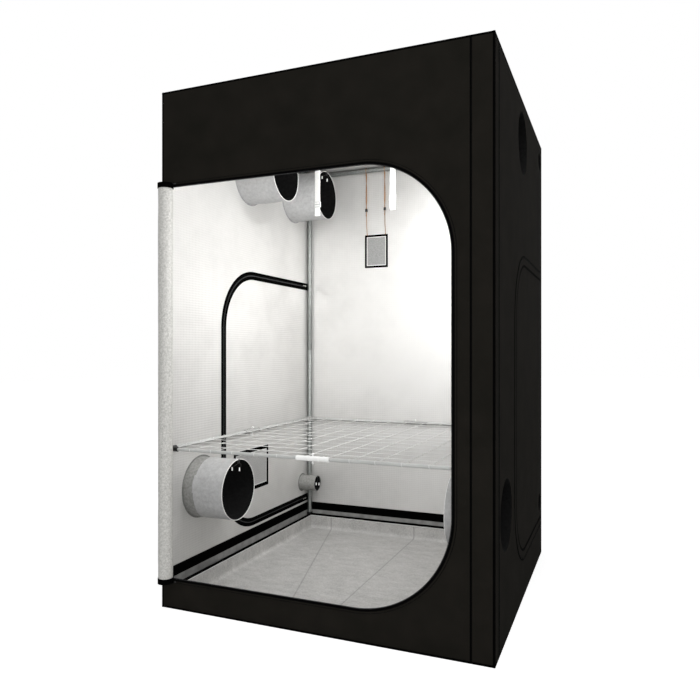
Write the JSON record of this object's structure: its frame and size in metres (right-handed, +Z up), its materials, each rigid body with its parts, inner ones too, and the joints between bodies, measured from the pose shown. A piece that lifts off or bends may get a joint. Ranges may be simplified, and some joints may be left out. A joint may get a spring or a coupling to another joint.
{
  "type": "indoor grow tent",
  "caption": "Tall square cloth tent on a steel tube frame, with zipped doors, duct sleeves, a mesh vent, a height-adjustable net shelf, ceiling bars with straps and a floor tray.",
  "frame": {"origin": "middle of the base, on the surface the tent stands on", "axes": "+Z up; +Y to the rear, so the front doorway faces -Y; +X to the right seen from the front"},
  "size_m": [1.5123, 1.5866, 2.35],
  "materials": {
    "black_cloth": "woven black polyester, matt with a faint sheen",
    "silver_lining": "reflective silver coating with a fine square grid, satin",
    "grey_sleeve_cloth": "silver-coated light cloth, crinkled, satin",
    "galvanised_tube": "galvanised, satin",
    "black_plastic": "moulded, matt",
    "white_enamel": "white enamel, semi-gloss",
    "white_webbing": "woven white polyester, matt",
    "orange_cord": "braided orange-brown cord, matt",
    "grey_tray_cloth": "coated grey cloth, soft sheen",
    "zinc": "die-cast zinc, nickel-coloured, satin"
  },
  "bodies": {
    "cover_and_frame": {"front_panel": "black_cloth", "left_wall": "silver_lining", "right_wall": "black_cloth", "back_wall": "silver_lining", "roof_panel": "black_cloth", "base_panel": "black_cloth", "duct_sleeve_left_low": "grey_sleeve_cloth", "duct_sleeve_left_front": "grey_sleeve_cloth", "duct_sleeve_left_rear": "grey_sleeve_cloth", "duct_sleeve_right_low": "grey_sleeve_cloth", "duct_sleeve_right_high": "grey_sleeve_cloth", "cable_sleeve_right_high": "grey_sleeve_cloth", "upright_front_left": "galvanised_tube", "upright_front_right": "galvanised_tube", "upright_rear_left": "galvanised_tube", "upright_rear_right": "galvanised_tube", "top_rail_front": "galvanised_tube", "top_rail_rear": "galvanised_tube", "top_rail_left": "galvanised_tube", "top_rail_right": "galvanised_tube", "bottom_rail_front": "galvanised_tube", "bottom_rail_rear": "galvanised_tube", "bottom_rail_left": "galvanised_tube", "bottom_rail_right": "galvanised_tube", "corner_top_front_left": "black_plastic", "corner_top_front_right": "black_plastic", "corner_top_rear_left": "black_plastic", "corner_top_rear_right": "black_plastic", "corner_bottom_front_left": "black_plastic", "corner_bottom_front_right": "black_plastic", "corner_bottom_rear_left": "black_plastic", "corner_bottom_rear_right": "black_plastic", "crossbar_front": "galvanised_tube", "crossbar_rear": "galvanised_tube", "hanging_strap_left": "white_webbing", "hanging_strap_right": "white_webbing", "vent_cord": "orange_cord", "floor_tray": "grey_tray_cloth"},
    "front_door": {"front_door_roll": "silver_lining"},
    "left_door": {"left_side_door": "silver_lining", "cable_sleeve_left": "grey_sleeve_cloth"},
    "right_door": {"right_side_door": "black_cloth", "cable_sleeve_right_low": "grey_sleeve_cloth"},
    "left_flap": {"left_vent_flap": "black_cloth"},
    "back_flap": {"back_vent_flap": "black_cloth"},
    "net_shelf": {"net_bar_front": "white_enamel", "net_bar_right": "white_enamel", "net_bar_rear": "white_enamel", "net_bar_left": "white_enamel", "net": "white_webbing"},
    "buckle_left": {"strap_buckle_left": "white_enamel"},
    "buckle_right": {"strap_buckle_right": "white_enamel"},
    "stop_left": {"cord_stop_left": "black_plastic"},
    "stop_right": {"cord_stop_right": "black_plastic"},
    "front_zip_top": {"front_slider_top": "zinc"},
    "front_zip_bottom": {"front_slider_bottom": "zinc"},
    "left_zip_top": {"left_slider_top": "zinc"},
    "left_zip_bottom": {"left_slider_bottom": "zinc"},
    "right_zip_top": {"right_slider_top": "zinc"},
    "right_zip_bottom": {"right_slider_bottom": "zinc"}
  },
  "joints": [
    {"name": "front_door_swing", "type": "hinge", "parent": "cover_and_frame", "child": "front_door", "pos_m": [-0.738, -0.7558, 1.0255], "axis": [0, 0, 1], "range_deg": [-85, 0]},
    {"name": "left_door_swing", "type": "hinge", "parent": "cover_and_frame", "child": "left_door", "pos_m": [-0.7558, 0.744, 0.899], "axis": [0, 0, 1], "range_deg": [-120, 0]},
    {"name": "right_door_swing", "type": "hinge", "parent": "cover_and_frame", "child": "right_door", "pos_m": [0.7558, 0.744, 0.899], "axis": [0, 0, 1], "range_deg": [0, 120]},
    {"name": "left_flap_lift", "type": "hinge", "parent": "left_door", "child": "left_flap", "pos_m": [-0.7563, 0.0265, 0.632], "axis": [0, 1, 0], "range_deg": [0, 150]},
    {"name": "back_flap_lift", "type": "hinge", "parent": "cover_and_frame", "child": "back_flap", "pos_m": [-0.2685, 0.7563, 1.934], "axis": [1, 0, 0], "range_deg": [0, 150]},
    {"name": "front_zip_top_run", "type": "slide", "parent": "cover_and_frame", "child": "front_zip_top", "axis": [1, 0, 0], "range_m": [0, 0.89]},
    {"name": "front_zip_bottom_run", "type": "slide", "parent": "cover_and_frame", "child": "front_zip_bottom", "axis": [1, 0, 0], "range_m": [0, 0.86]},
    {"name": "left_zip_top_run", "type": "slide", "parent": "cover_and_frame", "child": "left_zip_top", "axis": [0, -1, 0], "range_m": [0, 0.6]},
    {"name": "left_zip_bottom_run", "type": "slide", "parent": "cover_and_frame", "child": "left_zip_bottom", "axis": [0, -1, 0], "range_m": [0, 0.6]},
    {"name": "right_zip_top_run", "type": "slide", "parent": "cover_and_frame", "child": "right_zip_top", "axis": [0, -1, 0], "range_m": [0, 0.6]},
    {"name": "right_zip_bottom_run", "type": "slide", "parent": "cover_and_frame", "child": "right_zip_bottom", "axis": [0, -1, 0], "range_m": [0, 0.6]},
    {"name": "net_shelf_height", "type": "slide", "parent": "cover_and_frame", "child": "net_shelf", "axis": [0, 0, 1], "range_m": [-0.04, 0.9]},
    {"name": "buckle_left_height", "type": "slide", "parent": "cover_and_frame", "child": "buckle_left", "axis": [0, 0, 1], "range_m": [-0.03, 0.25]},
    {"name": "buckle_right_height", "type": "slide", "parent": "cover_and_frame", "child": "buckle_right", "axis": [0, 0, 1], "range_m": [-0.03, 0.25]},
    {"name": "stop_left_height", "type": "slide", "parent": "cover_and_frame", "child": "stop_left", "axis": [0, 0, 1], "range_m": [-0.02, 0.1]},
    {"name": "stop_right_height", "type": "slide", "parent": "cover_and_frame", "child": "stop_right", "axis": [0, 0, 1], "range_m": [-0.02, 0.1]}
  ]
}
